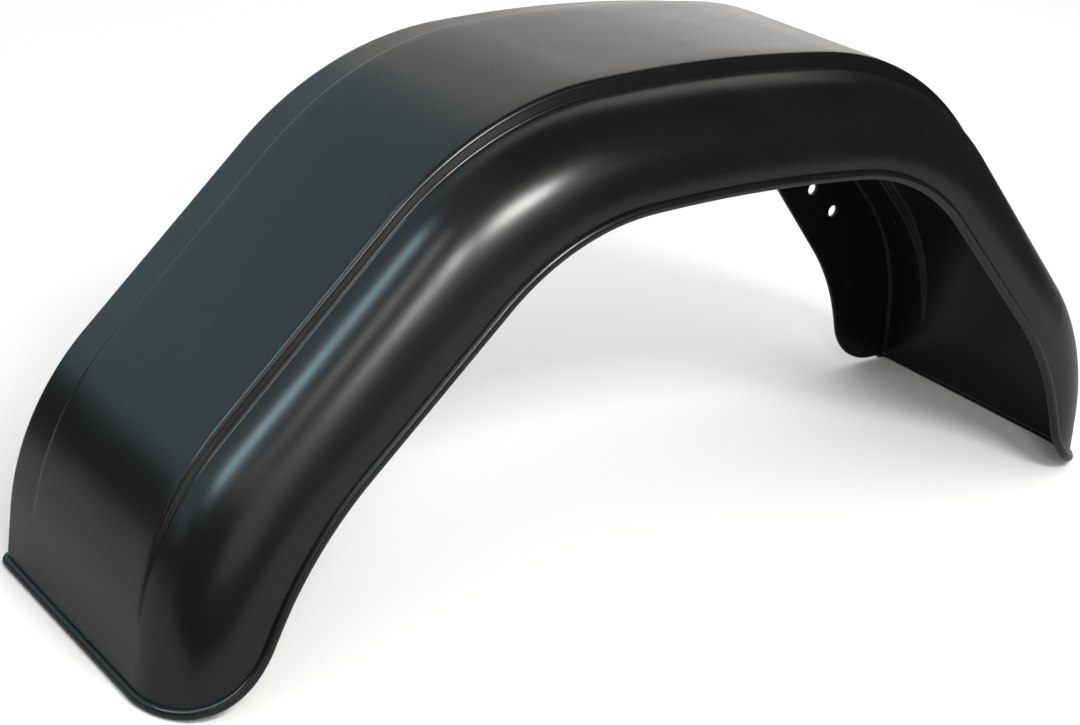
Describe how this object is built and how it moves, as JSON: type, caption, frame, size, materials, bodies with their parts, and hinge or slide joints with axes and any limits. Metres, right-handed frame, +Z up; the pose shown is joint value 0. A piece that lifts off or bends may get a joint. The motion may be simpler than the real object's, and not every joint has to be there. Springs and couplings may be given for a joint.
{
  "type": "trailer mudguard",
  "caption": "Single-wheel trailer mudguard: a thin moulded shell arched over the wheel, with a stepped raised tread, a rounded outer shoulder, open wheel arch, rolled edge bead and bolt holes.",
  "frame": {"origin": "middle of the footprint, on the ground plane under the two feet", "axes": "X along the trailer, -Y towards the outer side, +Y towards the side that is bolted on, Z up"},
  "size_m": [0.7474, 0.2241, 0.3227],
  "materials": {
    "shell": "satin black, finely grained"
  },
  "bodies": {
    "root": {"mudguard": "shell"}
  },
  "joints": []
}
